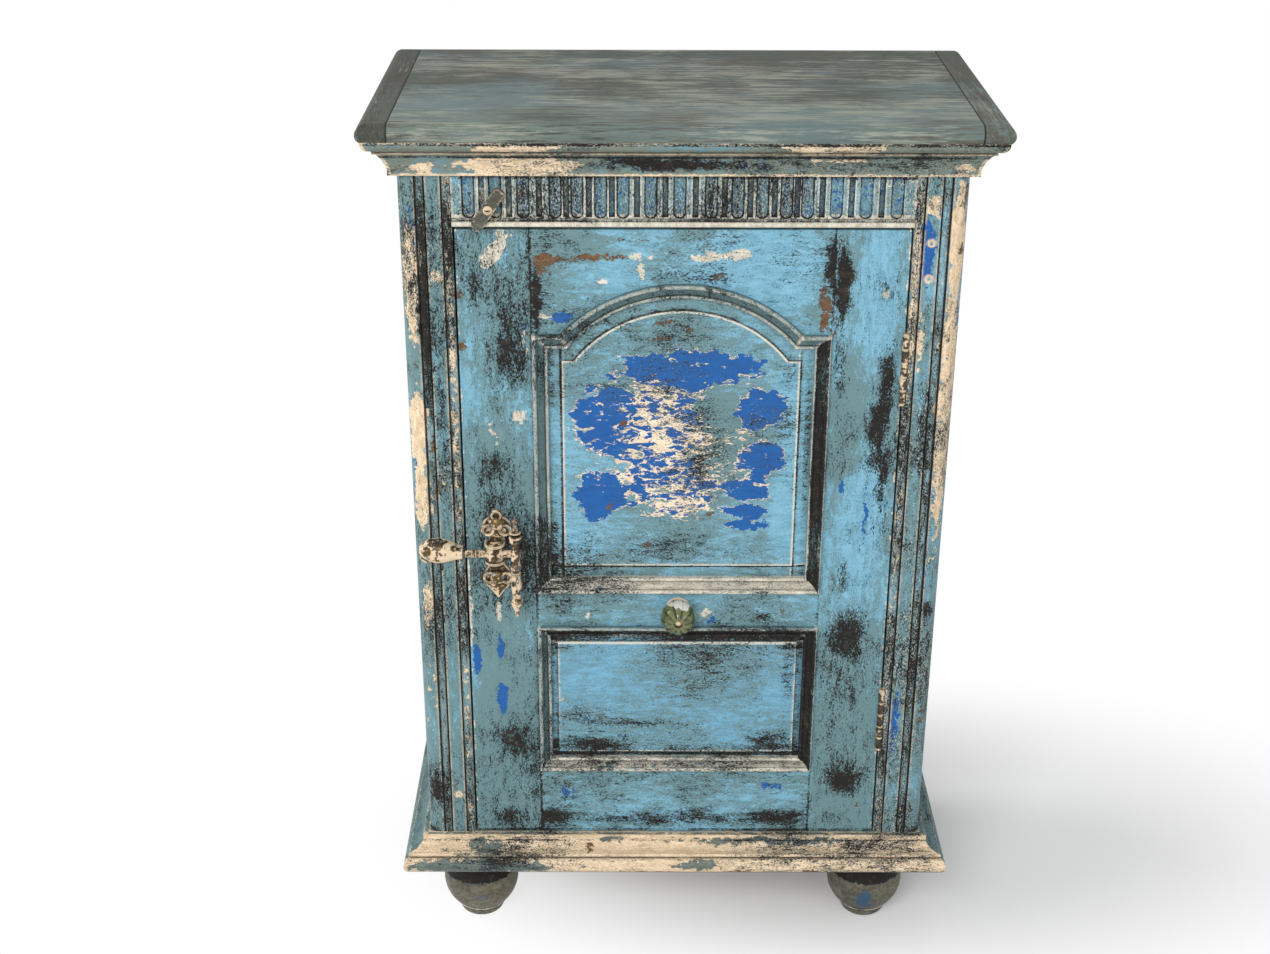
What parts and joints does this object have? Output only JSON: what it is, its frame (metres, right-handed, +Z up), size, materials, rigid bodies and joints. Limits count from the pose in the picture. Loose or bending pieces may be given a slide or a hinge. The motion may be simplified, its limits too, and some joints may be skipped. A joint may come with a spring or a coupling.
{
  "type": "small free-standing cupboard",
  "caption": "Small painted wooden cupboard on turned bun feet, with a moulded top, a fluted frieze and a framed door with an arched upper panel, a round knob, a turn button and a sliding latch",
  "frame": {"origin": "on the floor, under the middle of the overall width and depth", "axes": "+Z up, the longest extent; the door faces -Y; depth runs along Y, the shortest extent; +X is to the right seen from the front"},
  "size_m": [0.58, 0.311, 0.9],
  "materials": {
    "weathered_top": "weathered grey-green paint on wood, matt",
    "cornice_paint": "worn blue paint with cream showing, matt",
    "base_paint": "worn cream paint with brown chips, matt",
    "frame_paint": "worn blue paint over dark wood, matt",
    "side_paint": "worn blue paint over dark wood, matt",
    "foot_paint": "worn grey-green paint, matt",
    "bare_wood": "old unpainted softwood",
    "door_paint": "worn blue paint over dark wood, matt",
    "panel_paint": "flaking blue paint over cream, matt",
    "moulding_paint": "worn blue and cream paint, matt",
    "peg_wood": "end grain, worn",
    "button_paint": "worn paint on wood, matt",
    "knob_glaze": "olive-green glaze, gloss",
    "dark_metal": "dark aged steel",
    "hinge_metal": "aged steel with paint on it",
    "aged_brass": "dark aged brass with paint in its hollows"
  },
  "bodies": {
    "carcass": {"back_board_left": "bare_wood", "back_board_middle": "bare_wood", "back_board_right": "bare_wood", "back_rails": "bare_wood", "base_moulding_front": "base_paint", "base_moulding_left": "base_paint", "base_moulding_right": "base_paint", "bottom_board": "bare_wood", "bottom_rail": "frame_paint", "button_screw": "hinge_metal", "cornice_front": "cornice_paint", "cornice_left": "cornice_paint", "cornice_right": "cornice_paint", "door_stop": "bare_wood", "foot_blocks": "bare_wood", "foot_front_left": "foot_paint", "foot_front_right": "foot_paint", "foot_rear_left": "foot_paint", "foot_rear_right": "foot_paint", "frieze_rail": "frame_paint", "front_post_left": "frame_paint", "front_post_right": "frame_paint", "hinge_pins": "hinge_metal", "hinge_post_leaves": "hinge_metal", "hinge_post_screws": "hinge_metal", "latch_keeper": "aged_brass", "post_pegs": "peg_wood", "rear_post_left": "side_paint", "rear_post_right": "side_paint", "shelf": "bare_wood", "shelf_cleats": "bare_wood", "side_panel_left": "side_paint", "side_panel_right": "side_paint", "side_rails_left": "side_paint", "side_rails_right": "side_paint", "top_board": "weathered_top", "top_cleat_left": "weathered_top", "top_cleat_right": "weathered_top"},
    "door": {"door_bottom_rail": "door_paint", "door_mid_rail": "door_paint", "door_stile_left": "door_paint", "door_stile_right": "door_paint", "door_top_rail": "door_paint", "hinge_door_leaves": "hinge_metal", "hinge_door_screws": "hinge_metal", "knob": "knob_glaze", "knob_bolt": "dark_metal", "knob_collar": "dark_metal", "lower_moulding_rails": "moulding_paint", "lower_moulding_sides": "moulding_paint", "lower_panel": "panel_paint", "upper_moulding_arch": "moulding_paint", "upper_moulding_foot": "moulding_paint", "upper_moulding_sides": "moulding_paint", "upper_panel": "panel_paint", "latch_plate": "aged_brass"},
    "button": {"turn_button": "button_paint"},
    "latch": {"latch_bolt": "aged_brass", "latch_handle": "aged_brass"}
  },
  "joints": [
    {"name": "door_swing", "type": "hinge", "parent": "carcass", "child": "door", "pos_m": [0.2095, -0.12455, 0.4675], "axis": [0, 0, 1], "range_deg": [0, 170]},
    {"name": "button_turn", "type": "hinge", "parent": "carcass", "child": "button", "pos_m": [-0.177, -0.128, 0.817], "axis": [0, -1, 0], "continuous": true},
    {"name": "latch_slide", "type": "slide", "parent": "door", "child": "latch", "axis": [-1, 0, 0], "range_m": [0, 0.008]}
  ]
}
